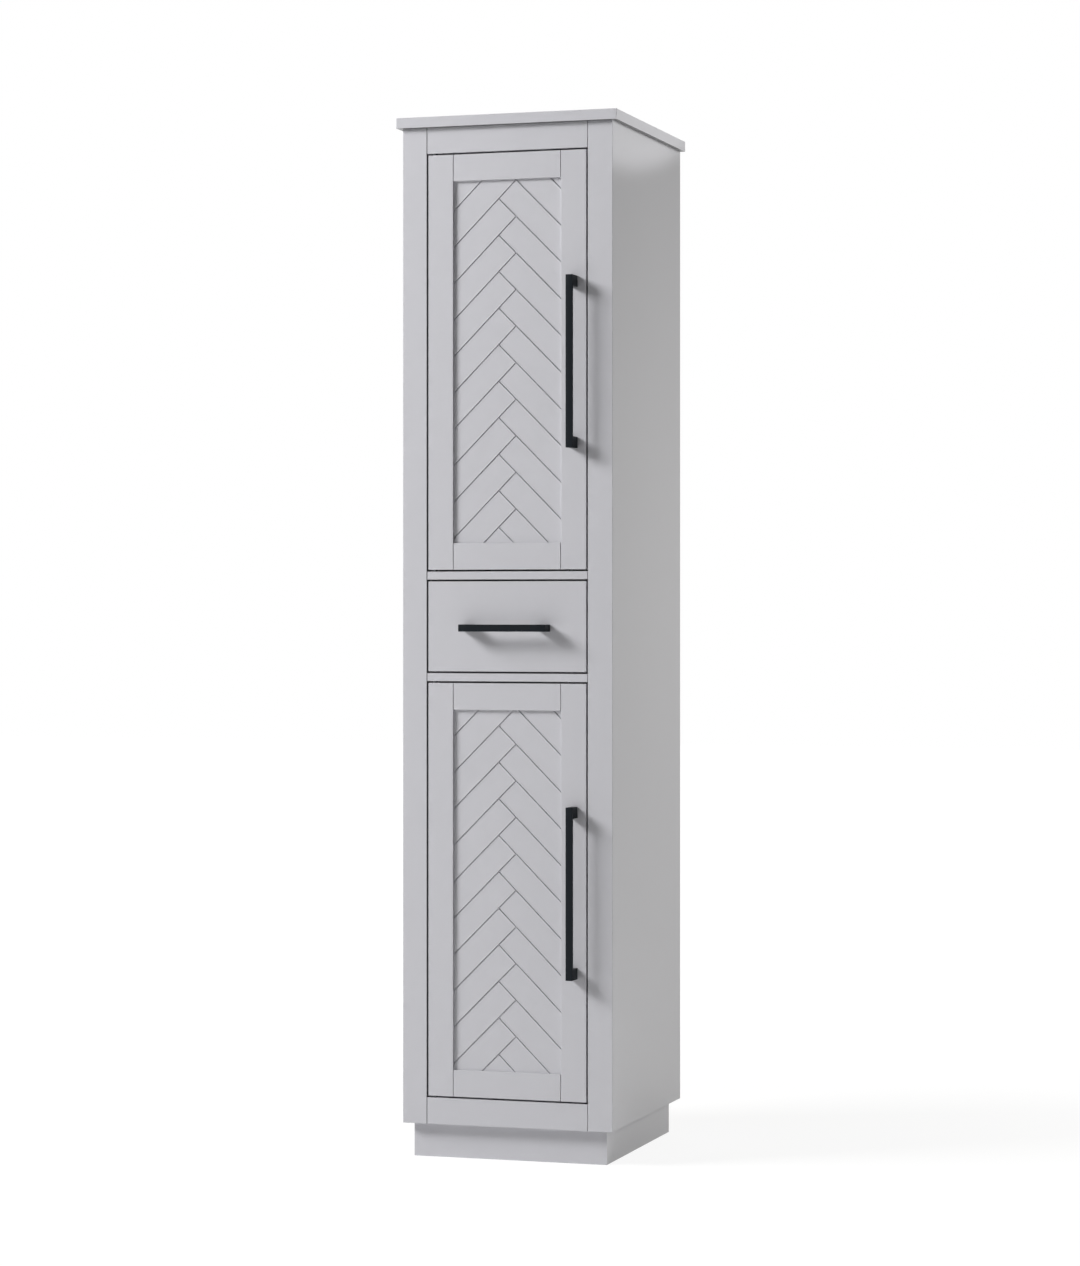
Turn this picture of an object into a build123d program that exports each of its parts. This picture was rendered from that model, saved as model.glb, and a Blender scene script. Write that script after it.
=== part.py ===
from build123d import *
import os
from math import sqrt

# Tall pantry cabinet: a face-framed carcass on a recessed plinth, with an upper
# door, a drawer and a lower door, all set flush inside the frame.
# Millimetres.  +Z is up, the front faces -Y and +X is the viewer's right.  The
# origin is on the floor, in the middle of the overall width and depth.

# ---------------------------------------------------------------- carcass
body_width = 435.0
body_depth = 498.0             # face frame front to back of the sides
panel_thickness = 18.0         # sides, floor, top, shelves, plinth
back_thickness = 6.0
back_rabbet_width = 9.0        # how far the back sits into each side
slab_thickness = 21.0
slab_side_overhang = 11.0
slab_front_overhang = 10.0
slab_edge_radius = 1.0

# ---------------------------------------------------------------- plinth
plinth_height = 67.5
plinth_side_inset = 17.3
plinth_front_inset = 20.0
plinth_back_inset = 26.0
corner_block_size = 36.0
corner_block_floor_gap = 8.0

# ---------------------------------------------------------------- face frame
frame_thickness = 20.0
frame_stile_width = 50.2
top_rail_height = 51.5
bottom_rail_height = 52.5
mid_rail_height = 16.0         # also the thickness of the two dividers behind
reveal = 3.5                   # gap all round each door and the drawer front
edge_easing = 0.5              # small bevel on every front edge
joint_groove_width = 1.3       # where a rail's end meets a stile
joint_groove_depth = 3.0

# ---------------------------------------------------------------- doors
upper_door_height = 823.0
lower_door_height = 820.0
door_thickness = 20.0
door_stile_width = 51.7
door_rail_height = 53.0
panel_recess = 6.0
door_panel_thickness = 9.0
panel_tongue = 8.0
panel_groove_depth = 9.0
chevron_board_width = 51.0     # measured square to the groove
upper_first_joint = 36.7       # first left joint, below the upper door's top rail
lower_first_joint = 30.7       # the same on the lower door
chevron_groove_width = 2.5
chevron_groove_depth = 3.0

# ---------------------------------------------------------------- door pivots
pivot_edge_distance = 12.0     # from the door's hinge edge
pivot_face_distance = 6.0      # from the door's front face
pivot_pin_diameter = 5.0
pivot_pin_door_depth = 20.0
pivot_running_clearance = 0.05
pivot_bush_diameter = 8.0
pivot_bush_depth = 10.0
pivot_flange_diameter = 10.0
pivot_flange_thickness = 1.0
thrust_clearance = 0.3
pivot_pin_end_gap = 0.5

# ---------------------------------------------------------------- door catches
catch_width = 40.0
catch_depth = 16.0
catch_height = 14.0
catch_edge_distance = 6.0      # from the side of the opening
strike_thickness = 1.2
strike_margin = 4.0            # how much smaller the strike is at each end
strike_height = 10.0
strike_edge_distance = 1.0     # from the end of the door
catch_gap = 0.3

# ---------------------------------------------------------------- handles
handle_projection = 35.0
handle_bar_width = 14.0
handle_bar_thickness = 6.0
handle_leg_length = 22.0
handle_edge_radius = 0.8
handle_inner_radius = 2.0
door_handle_length = 338.0
drawer_handle_length = 179.0
door_handle_edge_distance = 24.6  # from the door's free edge to the bar's middle
upper_handle_drop = 5.0        # below the middle of the upper door
drawer_handle_drop = 3.0       # below the middle of the drawer front
handle_screw_diameter = 4.0
handle_screw_reach = 10.0      # into the leg
screw_head_diameter = 8.0
screw_head_height = 2.4

# ---------------------------------------------------------------- drawer
drawer_front_height = 178.5
drawer_side_height = 120.0
drawer_side_thickness = 12.0
drawer_floor_clearance = 26.0  # box above the lower mid rail
drawer_bottom_thickness = 6.0
drawer_bottom_height = 10.0    # bottom's underside above the box's lower edge
drawer_groove_depth = 6.0
front_screw_diameter = 4.0
front_screw_length = 26.0
front_screw_inset = 30.0       # from the box's sides and edges

# ---------------------------------------------------------------- runners
runner_space = 12.7            # between the spacer and the drawer's side
runner_height = 45.0
runner_length = 450.0
runner_front_gap = 3.0         # behind the face frame
runner_wall = 1.2
runner_web_gap = 0.5
runner_lip_gap = 2.5           # flange tip to the next member's web
ball_strip_height = 2.4
ball_strip_width = 4.0
ball_clearance = 0.3
spacer_height = 60.0

# ---------------------------------------------------------------- shelves
upper_shelf_count = 2
lower_shelf_count = 1
shelf_side_gap = 1.0
shelf_front_gap = 25.0
shelf_back_gap = 2.0
shelf_pin_diameter = 5.0
shelf_pin_depth = 9.0
shelf_pad_length = 9.0
shelf_pad_width = 10.0
shelf_pad_thickness = 2.0
shelf_pin_edge_distance = 50.0 # from the shelf's front and back edges
shelf_hole_pitch = 32.0

# ---------------------------------------------------------------- wall rail
wall_rail_height = 80.0
wall_hole_spacing = 320.0
wall_hole_diameter = 5.0

# ---------------------------------------------------------------- planes
half_body = body_width / 2
half_inside = half_body - panel_thickness
half_opening = half_body - frame_stile_width
half_door = half_opening - reveal
half_slab = half_body + slab_side_overhang

y_front = (handle_projection - body_depth) / 2
y_frame_back = y_front + frame_thickness
y_back = y_front + body_depth
y_back_panel = y_back - back_thickness
y_door_back = y_front + door_thickness

z_floor = plinth_height + bottom_rail_height
z_lower_door = z_floor + reveal
z_lower_door_top = z_lower_door + lower_door_height
z_lower_divider = z_lower_door_top + reveal
z_lower_divider_top = z_lower_divider + mid_rail_height
z_drawer = z_lower_divider_top + reveal
z_drawer_top = z_drawer + drawer_front_height
z_upper_divider = z_drawer_top + reveal
z_upper_divider_top = z_upper_divider + mid_rail_height
z_upper_door = z_upper_divider_top + reveal
z_upper_door_top = z_upper_door + upper_door_height
z_top_rail = z_upper_door_top + reveal
z_body_top = z_top_rail + top_rail_height

pivot_x = -half_door + pivot_edge_distance
pivot_y = y_front + pivot_face_distance

# The frame's opening, the doors and the drawer are all centred on x = 0.
SIDES = {"left": -1, "right": 1}
UP = 1
DOWN = -1

parts = {}


def board(x, y, z):
    """A plain board between two x, two y and two z planes, in any order."""
    low = [min(span) for span in (x, y, z)]
    size = [max(span) - min(span) for span in (x, y, z)]
    return Pos(*low) * Box(*size, align=(Align.MIN, Align.MIN, Align.MIN))


def rod(axis, diameter, start, length):
    """A round bar from a start point along X, Y or Z (length may be negative)."""
    turn = {"x": Rot(0, 90, 0), "y": Rot(-90, 0, 0), "z": Rot(0, 0, 0)}[axis]
    shift = {"x": (length / 2, 0, 0), "y": (0, length / 2, 0), "z": (0, 0, length / 2)}[axis]
    middle = [a + b for a, b in zip(start, shift)]
    return Pos(*middle) * turn * Cylinder(diameter / 2, abs(length))


def ease_front(solid):
    """Bevels the four edges of a board's front face."""
    front = solid.faces().sort_by(Axis.Y)[0]
    return chamfer(front.edges(), edge_easing)


def front_rail(half_length, y_rear, z):
    """A rail with eased front edges and a narrow groove at each end, by the stiles."""
    rail = ease_front(board((-half_length, half_length), (y_front, y_rear), z))
    for side in SIDES.values():
        rail -= board((side * (half_length - joint_groove_width), side * half_length),
                      (y_front, y_front + joint_groove_depth), z)
    return rail


# ---------------------------------------------------------------- carcass
def make_slab():
    slab = board((-half_slab, half_slab),
                 (y_front - slab_front_overhang, y_back),
                 (z_body_top, z_body_top + slab_thickness))
    parts["top_slab"] = fillet(slab.edges(), slab_edge_radius)


def shelf_levels(z_low, z_high, count):
    """Undersides of evenly spaced shelves in a compartment."""
    clear = (z_high - z_low - count * panel_thickness) / (count + 1)
    return [z_low + clear * n + panel_thickness * (n - 1) for n in range(1, count + 1)]


upper_shelves = shelf_levels(z_upper_divider_top, z_body_top - panel_thickness, upper_shelf_count)
lower_shelves = shelf_levels(z_floor, z_lower_divider, lower_shelf_count)
y_shelf = y_frame_back + shelf_front_gap
y_shelf_back = y_back_panel - shelf_back_gap
shelf_pin_rows = (y_shelf + shelf_pin_edge_distance, y_shelf_back - shelf_pin_edge_distance)


def make_sides():
    for name, side in SIDES.items():
        panel = board((side * half_inside, side * half_body),
                      (y_frame_back, y_back), (plinth_height, z_body_top))
        panel -= board((side * half_inside, side * (half_inside + back_rabbet_width)),
                       (y_back_panel, y_back), (plinth_height, z_body_top))
        for z in upper_shelves + lower_shelves:
            for step in (-1, 0, 1):
                for y in shelf_pin_rows:
                    z_pin = z - shelf_pin_diameter / 2 + step * shelf_hole_pitch
                    panel -= rod("x", shelf_pin_diameter, (side * half_inside, y, z_pin),
                                 side * shelf_pin_depth)
        parts["side_panel_" + name] = panel


def wall_holes(y, depth):
    """Two screw clearances through the wall rail and the back."""
    z = z_body_top - panel_thickness - wall_rail_height / 2
    return [rod("y", wall_hole_diameter, (side * wall_hole_spacing / 2, y, z), depth)
            for side in SIDES.values()]


def make_panels():
    inside = (-half_inside, half_inside)
    depth = (y_frame_back, y_back_panel)
    parts["top_panel"] = board(inside, depth, (z_body_top - panel_thickness, z_body_top))
    parts["floor_panel"] = board(inside, depth, (z_floor - panel_thickness, z_floor))
    parts["upper_divider"] = board(inside, depth, (z_upper_divider, z_upper_divider_top))
    parts["lower_divider"] = board(inside, depth, (z_lower_divider, z_lower_divider_top))

    half_back = half_inside + back_rabbet_width
    back = board((-half_back, half_back), (y_back_panel, y_back), (plinth_height, z_body_top))
    rail = board(inside, (y_back_panel - panel_thickness, y_back_panel),
                 (z_body_top - panel_thickness - wall_rail_height, z_body_top - panel_thickness))
    for hole in wall_holes(y_back, -(panel_thickness + back_thickness)):
        back -= hole
        rail -= hole
    parts["back_panel"] = back
    parts["wall_rail"] = rail


def make_shelves():
    levels = {"upper_shelf_" + str(n + 1): z for n, z in enumerate(upper_shelves)}
    levels.update({"lower_shelf_" + str(n + 1): z for n, z in enumerate(lower_shelves)})
    half_shelf = half_inside - shelf_side_gap
    pins = []
    for name, z in levels.items():
        parts[name] = board((-half_shelf, half_shelf), (y_shelf, y_shelf_back),
                            (z, z + panel_thickness))
        for side in SIDES.values():
            for y in shelf_pin_rows:
                pin = rod("x", shelf_pin_diameter,
                          (side * (half_inside + shelf_pin_depth), y, z - shelf_pin_diameter / 2),
                          -side * (shelf_pin_depth + shelf_pad_length))
                pad = board((side * half_inside, side * (half_inside - shelf_pad_length)),
                            (y - shelf_pad_width / 2, y + shelf_pad_width / 2),
                            (z - shelf_pad_thickness, z))
                pins.append(pin + pad)
    parts["shelf_pins"] = Compound(pins)


# ---------------------------------------------------------------- plinth
def make_plinth():
    half_plinth = half_body - plinth_side_inset
    y_plinth = y_front + plinth_front_inset
    y_plinth_back = y_back - plinth_back_inset
    height = (0, plinth_height)
    inner_y = (y_plinth + panel_thickness, y_plinth_back - panel_thickness)

    parts["plinth_front"] = board((-half_plinth, half_plinth), (y_plinth, inner_y[0]), height)
    parts["plinth_back"] = board((-half_plinth, half_plinth), (inner_y[1], y_plinth_back), height)
    for name, side in SIDES.items():
        parts["plinth_side_" + name] = board(
            (side * (half_plinth - panel_thickness), side * half_plinth), inner_y, height)

    # Blocks glued into the corners hold the plinth to the floor panel.
    half_blocks = half_plinth - panel_thickness
    blocks = []
    for side in SIDES.values():
        for y, inward in ((inner_y[0], 1), (inner_y[1], -1)):
            blocks.append(board((side * (half_blocks - corner_block_size), side * half_blocks),
                                (y, y + inward * corner_block_size),
                                (corner_block_floor_gap, z_floor - panel_thickness)))
    parts["plinth_corner_blocks"] = Compound(blocks)


# ---------------------------------------------------------------- face frame
def pivot_hole(z, way):
    """The bush's seat in a frame rail; way is UP or DOWN from the opening."""
    return rod("z", pivot_bush_diameter, (pivot_x, pivot_y, z), way * pivot_bush_depth)


def make_frame():
    for name, side in SIDES.items():
        stile = board((side * half_opening, side * half_body),
                      (y_front, y_frame_back), (plinth_height, z_body_top))
        parts["frame_stile_" + name] = ease_front(stile)

    rails = {
        "frame_top_rail": (z_top_rail, z_body_top, z_top_rail, UP),
        "frame_upper_mid_rail": (z_upper_divider, z_upper_divider_top, z_upper_divider_top, DOWN),
        "frame_lower_mid_rail": (z_lower_divider, z_lower_divider_top, z_lower_divider, UP),
        "frame_bottom_rail": (plinth_height, z_floor, z_floor, DOWN),
    }
    for name, (z_low, z_high, z_pivot, way) in rails.items():
        rail = front_rail(half_opening, y_frame_back, (z_low, z_high))
        parts[name] = rail - pivot_hole(z_pivot, way)


# ---------------------------------------------------------------- door hardware
def pivot_bush(z, way):
    """A flanged bush pressed into a rail, with its flange in the reveal."""
    bore = pivot_pin_diameter + 2 * pivot_running_clearance
    bush = rod("z", pivot_bush_diameter, (pivot_x, pivot_y, z), way * pivot_bush_depth)
    bush += rod("z", pivot_flange_diameter, (pivot_x, pivot_y, z), -way * pivot_flange_thickness)
    start = z - way * pivot_flange_thickness
    return bush - rod("z", bore, (pivot_x, pivot_y, start),
                      way * (pivot_flange_thickness + pivot_bush_depth))


def pivot_pin(z, way):
    """A pin from inside the door's end z, out through the reveal into its bush.

    Its collar fills what the bush's flange leaves of the reveal, less a clearance.
    """
    inside = pivot_pin_door_depth
    outside = reveal + pivot_bush_depth - pivot_pin_end_gap
    pin = rod("z", pivot_pin_diameter, (pivot_x, pivot_y, z - way * inside),
              way * (inside + outside))
    collar = reveal - pivot_flange_thickness - thrust_clearance
    return pin + rod("z", pivot_flange_diameter, (pivot_x, pivot_y, z), way * collar)


def make_door_hardware():
    parts["pivot_bushes"] = Compound([
        pivot_bush(z_top_rail, UP), pivot_bush(z_upper_divider_top, DOWN),
        pivot_bush(z_lower_divider, UP), pivot_bush(z_floor, DOWN)])

    # Each catch is screwed to the divider next to its door, behind the door.
    x_outer = half_opening - catch_edge_distance
    y_catch = y_door_back + strike_thickness + catch_gap
    catches = [board((x_outer - catch_width, x_outer), (y_catch, y_catch + catch_depth),
                     (z, z + way * catch_height))
               for z, way in ((z_upper_divider_top, UP), (z_lower_divider, DOWN))]
    parts["magnetic_catches"] = Compound(catches)


def strike_plate(z, inward):
    """A steel plate on the door's back, by its end z; inward points into the door."""
    x_outer = half_opening - catch_edge_distance
    near = z + inward * strike_edge_distance
    return board((x_outer - catch_width + strike_margin, x_outer - strike_margin),
                 (y_door_back, y_door_back + strike_thickness),
                 (near, near + inward * strike_height))


# ---------------------------------------------------------------- handles
def upright_handle(length):
    """A flat bar on two legs: stands on the plane y = 0, runs along Z about 0."""
    half = length / 2
    reach = handle_projection
    inner = half - handle_leg_length
    under = reach - handle_bar_thickness
    outline = Polyline((0, -half), (0, -inner), (-under, -inner), (-under, inner), (0, inner),
                       (0, half), (-reach, half), (-reach, -half), (0, -half))
    profile = Plane.YZ * make_face(outline)
    bar = extrude(profile, amount=handle_bar_width / 2, both=True)
    corners = bar.edges().filter_by(Axis.X).filter_by(
        lambda e: abs(e.center().Y + under) < edge_easing and abs(abs(e.center().Z) - inner) < edge_easing)
    bar = fillet(corners, handle_inner_radius)
    ends = bar.faces().filter_by(Axis.Z).filter_by(lambda f: abs(abs(f.center().Z) - half) < edge_easing)
    front = bar.faces().sort_by(Axis.Y)[0]
    rims = front.edges() + ends.edges().filter_by(Axis.Y)
    return fillet(rims, handle_edge_radius)


def handle_with_screws(length, x, z, board_thickness, flat=False):
    """The handle on the front plane and its two screws, driven from behind."""
    spread = (length - handle_leg_length) / 2
    turn = Rot(0, 90, 0) if flat else Rot(0, 0, 0)
    place = Pos(x, y_front, z) * turn
    shank = board_thickness + handle_screw_reach
    handle = upright_handle(length)
    screws = []
    for way in (UP, DOWN):
        head = rod("y", screw_head_diameter, (0, board_thickness, way * spread), screw_head_height)
        body = rod("y", handle_screw_diameter, (0, board_thickness, way * spread), -shank)
        handle -= rod("y", handle_screw_diameter, (0, 0, way * spread), -handle_screw_reach)
        screws.append(place * (head + body))
    return place * handle, screws


def screw_holes(screws, solid):
    """Cuts the screws' shanks out of the board that they pass through."""
    for screw in screws:
        solid -= screw
    return solid


# ---------------------------------------------------------------- doors
def chevron_grooves(z_panel_top, z_panel_bottom, half_panel, first_joint):
    """Grooves of a herringbone: boards at 45 degrees that meet in staggered joints."""
    joint = chevron_board_width / (2 * sqrt(2))    # half the stagger across the centre line
    pitch = chevron_board_width * sqrt(2)
    top_joint = z_panel_top - first_joint
    rows = int((z_panel_top - z_panel_bottom + 2 * half_panel) / pitch) + 2
    above = int(half_panel / pitch) + 1
    reach = (half_panel + joint) * sqrt(2)
    rising_end = 2 * joint * sqrt(2)
    lines = []
    for row in range(-above, rows):
        z = top_joint - row * pitch
        rising = Rectangle(reach + rising_end, chevron_groove_width, align=(Align.MAX, Align.CENTER))
        falling = Rectangle(reach, chevron_groove_width, align=(Align.MIN, Align.CENTER))
        lines.append(Pos(joint, z + 2 * joint) * Rot(0, 0, 45) * rising)
        lines.append(Pos(-joint, z) * Rot(0, 0, -45) * falling)
    window = Pos(0, (z_panel_top + z_panel_bottom) / 2) * Rectangle(
        2 * half_panel, z_panel_top - z_panel_bottom)
    return window & (Sketch() + lines)


def make_door(name, z_low, z_high, first_joint, handle_drop, catch_at_top):
    half_panel = half_door - door_stile_width
    z_rail = z_low + door_rail_height
    z_rail_top = z_high - door_rail_height
    y_panel = y_front + panel_recess
    y_panel_back = y_panel + door_panel_thickness

    groove = board((-half_panel - panel_groove_depth, half_panel + panel_groove_depth),
                   (y_panel, y_panel_back),
                   (z_rail - panel_groove_depth, z_rail_top + panel_groove_depth))
    thickness = (y_front, y_door_back)
    handle_x = half_door - door_handle_edge_distance
    handle_z = (z_low + z_high) / 2 - handle_drop
    handle, screws = handle_with_screws(door_handle_length, handle_x, handle_z, door_thickness)
    pins = [pivot_pin(z_high, UP), pivot_pin(z_low, DOWN)]

    stiles = {}
    for side_name, side in SIDES.items():
        stile = board((side * half_panel, side * half_door), thickness, (z_low, z_high))
        stiles[side_name] = ease_front(stile) - groove
    for pin in pins:
        stiles["left"] -= pin
    stiles["right"] = screw_holes(screws, stiles["right"])
    for side_name, stile in stiles.items():
        parts[name + "_stile_" + side_name] = stile

    for end, span in (("bottom", (z_low, z_rail)), ("top", (z_rail_top, z_high))):
        parts[name + "_rail_" + end] = front_rail(half_panel, y_door_back, span) - groove

    panel = board((-half_panel - panel_tongue, half_panel + panel_tongue),
                  (y_panel, y_panel_back), (z_rail - panel_tongue, z_rail_top + panel_tongue))
    lines = chevron_grooves(z_rail_top, z_rail, half_panel, first_joint)
    face = Plane(origin=(0, y_panel, 0), x_dir=(1, 0, 0), z_dir=(0, -1, 0))
    panel -= extrude(face * lines, amount=-chevron_groove_depth)
    parts[name + "_panel"] = panel

    parts[name + "_handle"] = handle
    parts[name + "_handle_screws"] = Compound(screws)
    parts[name + "_pivot_pins"] = Compound(pins)
    strike = strike_plate(z_high, DOWN) if catch_at_top else strike_plate(z_low, UP)
    parts[name + "_strike_plate"] = strike


# ---------------------------------------------------------------- drawer
half_box = half_opening - runner_space
z_box = z_lower_divider_top + drawer_floor_clearance
z_box_top = z_box + drawer_side_height
z_runner = (z_box + z_box_top) / 2
y_drawer_front_back = y_front + door_thickness
y_runner = y_frame_back + runner_front_gap
y_runner_back = y_runner + runner_length
y_box_back = y_runner_back


def make_drawer():
    t = drawer_side_thickness
    height = (z_box, z_box_top)
    half_box_inside = half_box - t
    y_inside = (y_drawer_front_back + t, y_box_back - t)

    reach = half_box_inside + drawer_groove_depth
    bottom = board((-reach, reach),
                   (y_inside[0] - drawer_groove_depth, y_inside[1] + drawer_groove_depth),
                   (z_box + drawer_bottom_height,
                    z_box + drawer_bottom_height + drawer_bottom_thickness))
    parts["drawer_bottom"] = bottom

    handle_z = (z_drawer + z_drawer_top) / 2 - drawer_handle_drop
    handle, screws = handle_with_screws(drawer_handle_length, 0, handle_z,
                                        door_thickness + t, flat=True)
    parts["drawer_handle"] = handle
    for x in (front_screw_inset - half_box_inside, half_box_inside - front_screw_inset):
        for z in (z_box + front_screw_inset, z_box_top - front_screw_inset):
            head = rod("y", screw_head_diameter, (x, y_inside[0], z), screw_head_height)
            screws.append(head + rod("y", front_screw_diameter, (x, y_inside[0], z),
                                     -front_screw_length))
    parts["drawer_screws"] = Compound(screws)

    front = ease_front(board((-half_door, half_door), (y_front, y_drawer_front_back),
                             (z_drawer, z_drawer_top)))
    parts["drawer_front"] = screw_holes(screws, front)
    inner_front = board((-half_box_inside, half_box_inside),
                        (y_drawer_front_back, y_inside[0]), height) - bottom
    parts["drawer_inner_front"] = screw_holes(screws, inner_front)
    parts["drawer_back"] = board((-half_box_inside, half_box_inside),
                                 (y_inside[1], y_box_back), height) - bottom
    for name, side in SIDES.items():
        parts["drawer_side_" + name] = board(
            (side * half_box_inside, side * half_box),
            (y_drawer_front_back, y_box_back), height) - bottom


# ---------------------------------------------------------------- runners
def channel(side, x_web, x_tip, half_height):
    """A folded steel channel: a web at x_web with flanges reaching to x_tip.

    Distances run from the spacer's face towards the drawer.
    """
    towards = 1 if x_tip > x_web else -1
    face = half_opening

    def span(a, b):
        return (side * (face - a), side * (face - b))

    length = (y_runner, y_runner_back)
    web = board(span(x_web, x_web + towards * runner_wall), length,
                (z_runner - half_height, z_runner + half_height))
    for z in (z_runner - half_height, z_runner + half_height - runner_wall):
        web += board(span(x_web, x_tip), length, (z, z + runner_wall))
    return web


def ball_strips(side, x_start, half_low):
    """Two strips that stand for the rows of balls, above and below the centre."""
    face = half_opening
    x = (side * (face - x_start), side * (face - x_start - ball_strip_width))
    strips = []
    for way in (UP, DOWN):
        z = z_runner + way * half_low
        strips.append(board(x, (y_runner, y_runner_back), (z, z + way * ball_strip_height)))
    return strips


def make_runners():
    half_outer = runner_height / 2
    step = runner_wall + ball_strip_height + ball_clearance
    half_middle = half_outer - step
    half_inner = half_middle - step
    x_middle = runner_wall + runner_web_gap
    x_outer_tip = runner_space - runner_wall - runner_lip_gap
    x_middle_tip = runner_space - runner_wall - runner_lip_gap / 2
    x_inner_tip = x_middle + runner_wall + runner_web_gap
    x_strip = x_middle + runner_wall + runner_lip_gap / 2
    for name, side in SIDES.items():
        parts["runner_spacer_" + name] = board(
            (side * half_opening, side * half_inside), (y_frame_back, y_back_panel),
            (z_runner - spacer_height / 2, z_runner + spacer_height / 2))
        parts["runner_cabinet_member_" + name] = channel(side, 0, x_outer_tip, half_outer)
        middle = channel(side, x_middle, x_middle_tip, half_middle)
        strips = ball_strips(side, x_strip, half_middle)
        strips += ball_strips(side, x_strip, half_middle - runner_wall - ball_strip_height)
        parts["runner_middle_member_" + name] = Compound([middle] + strips)
        parts["runner_drawer_member_" + name] = channel(side, runner_space, x_inner_tip, half_inner)


make_slab()
make_sides()
make_panels()
make_shelves()
make_plinth()
make_frame()
make_door_hardware()
make_door("upper_door", z_upper_door, z_upper_door_top, upper_first_joint,
          upper_handle_drop, catch_at_top=False)
make_door("lower_door", z_lower_door, z_lower_door_top, lower_first_joint,
          0, catch_at_top=True)
make_drawer()
make_runners()

os.makedirs("parts", exist_ok=True)
for node, shape in parts.items():
    export_step(shape, "parts/" + node + ".step")
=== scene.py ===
import bmesh
import bpy
import math
from mathutils import Matrix, Vector


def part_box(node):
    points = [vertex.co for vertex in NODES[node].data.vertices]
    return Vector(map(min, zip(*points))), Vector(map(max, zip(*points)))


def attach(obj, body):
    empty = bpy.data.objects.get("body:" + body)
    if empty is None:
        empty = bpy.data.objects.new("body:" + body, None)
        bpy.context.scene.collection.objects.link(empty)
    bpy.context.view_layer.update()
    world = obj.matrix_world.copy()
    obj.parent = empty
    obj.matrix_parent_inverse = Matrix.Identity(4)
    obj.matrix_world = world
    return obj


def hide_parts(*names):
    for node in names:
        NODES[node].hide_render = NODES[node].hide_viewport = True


# A tall painted pantry cabinet in a white studio.  Metres, +Z up, front faces -Y.
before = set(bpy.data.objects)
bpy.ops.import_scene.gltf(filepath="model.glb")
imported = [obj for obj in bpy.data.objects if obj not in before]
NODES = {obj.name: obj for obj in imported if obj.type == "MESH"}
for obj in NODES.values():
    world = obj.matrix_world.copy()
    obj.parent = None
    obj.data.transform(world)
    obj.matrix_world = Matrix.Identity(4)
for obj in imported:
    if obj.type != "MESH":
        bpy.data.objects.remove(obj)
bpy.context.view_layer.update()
MM = 0.001
HAIR = 0.01 * MM  # two places that are closer than this are one
ARRIS_ANGLE = math.radians(40)
SHARP_ANGLE = math.radians(50)
SMOOTH_ANGLE = math.radians(32)

# ---------------------------------------------------------------- shader maths


class Wire:
    """A node's output socket that can be used in ordinary sums."""

    def __init__(self, graph, socket):
        self.graph = graph
        self.socket = socket

    def sum(self, operation, first, second=0.0):
        return self.graph.add("Math", {"operation": operation}, {0: first, 1: second})

    def __add__(self, other):
        return self.sum("ADD", self, other)

    def __radd__(self, other):
        return self.sum("ADD", other, self)

    def __sub__(self, other):
        return self.sum("SUBTRACT", self, other)

    def __rsub__(self, other):
        return self.sum("SUBTRACT", other, self)

    def __mul__(self, other):
        return self.sum("MULTIPLY", self, other)

    def __rmul__(self, other):
        return self.sum("MULTIPLY", other, self)

    def __gt__(self, other):
        return self.sum("GREATER_THAN", self, other)

    def __lt__(self, other):
        return self.sum("LESS_THAN", self, other)

    def wave(self):
        """A sine of the value, between 0 and 1."""
        return 0.5 + 0.5 * self.sum("SINE", self)

    def smooth(self, low, high):
        """0 below low, 1 above high, and a smooth step between them."""
        return self.graph.add("MapRange", {"interpolation_type": "SMOOTHSTEP"},
                              {"Value": self, "From Min": low, "From Max": high})


class Graph:
    """A material's node tree, built from wires."""

    def __init__(self, name):
        self.material = bpy.data.materials.new(name)
        self.material.use_nodes = True
        self.tree = self.material.node_tree
        self.tree.nodes.clear()
        self.output = self.tree.nodes.new("ShaderNodeOutputMaterial")

    def add(self, kind, settings=None, sockets=None, out=0):
        """Adds one node: its settings first, then its sockets' values or links."""
        node = self.tree.nodes.new("ShaderNode" + kind)
        for key, value in (settings or {}).items():
            setattr(node, key, value)
        for key, value in (sockets or {}).items():
            if isinstance(value, Wire):
                self.tree.links.new(value.socket, node.inputs[key])
            else:
                node.inputs[key].default_value = value
        return Wire(self, node.outputs[out])

    def place(self):
        """Object coordinates in metres."""
        return self.add("TexCoord", out="Object")

    def axis(self, vector, name):
        return self.add("SeparateXYZ", {}, {"Vector": vector}, out=name)

    def noise(self, vector, scale, detail=2.0, roughness=0.5):
        return self.add("TexNoise", {}, {"Vector": vector, "Scale": scale, "Detail": detail,
                                         "Roughness": roughness})

    def stretched(self, vector, along, share):
        """Coordinates drawn out along X, Y or Z, so that a pattern turns into streaks."""
        scale = [1.0, 1.0, 1.0]
        scale["XYZ".index(along)] = share
        return self.add("Mapping", {"vector_type": "POINT"}, {"Vector": vector, "Scale": scale})

    def blend(self, factor, first, second):
        return self.add("Mix", {"data_type": "RGBA"}, {"Factor": factor, 6: first, 7: second}, out=2)

    def bump(self, height, strength, distance):
        return self.add("Bump", {}, {"Height": height, "Strength": strength, "Distance": distance})

    def finish(self, shader):
        self.tree.links.new(shader.socket, self.output.inputs["Surface"])
        return self.material

    def shade(self, **sockets):
        """Finishes the material with a principled shader."""
        named = {key.replace("_", " ").title().replace("Ior", "IOR"): value
                 for key, value in sockets.items()}
        return self.finish(self.add("BsdfPrincipled", {}, named))


def tint(colour, factor=1.0):
    return tuple(c * factor for c in colour) + (1.0,)


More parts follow.
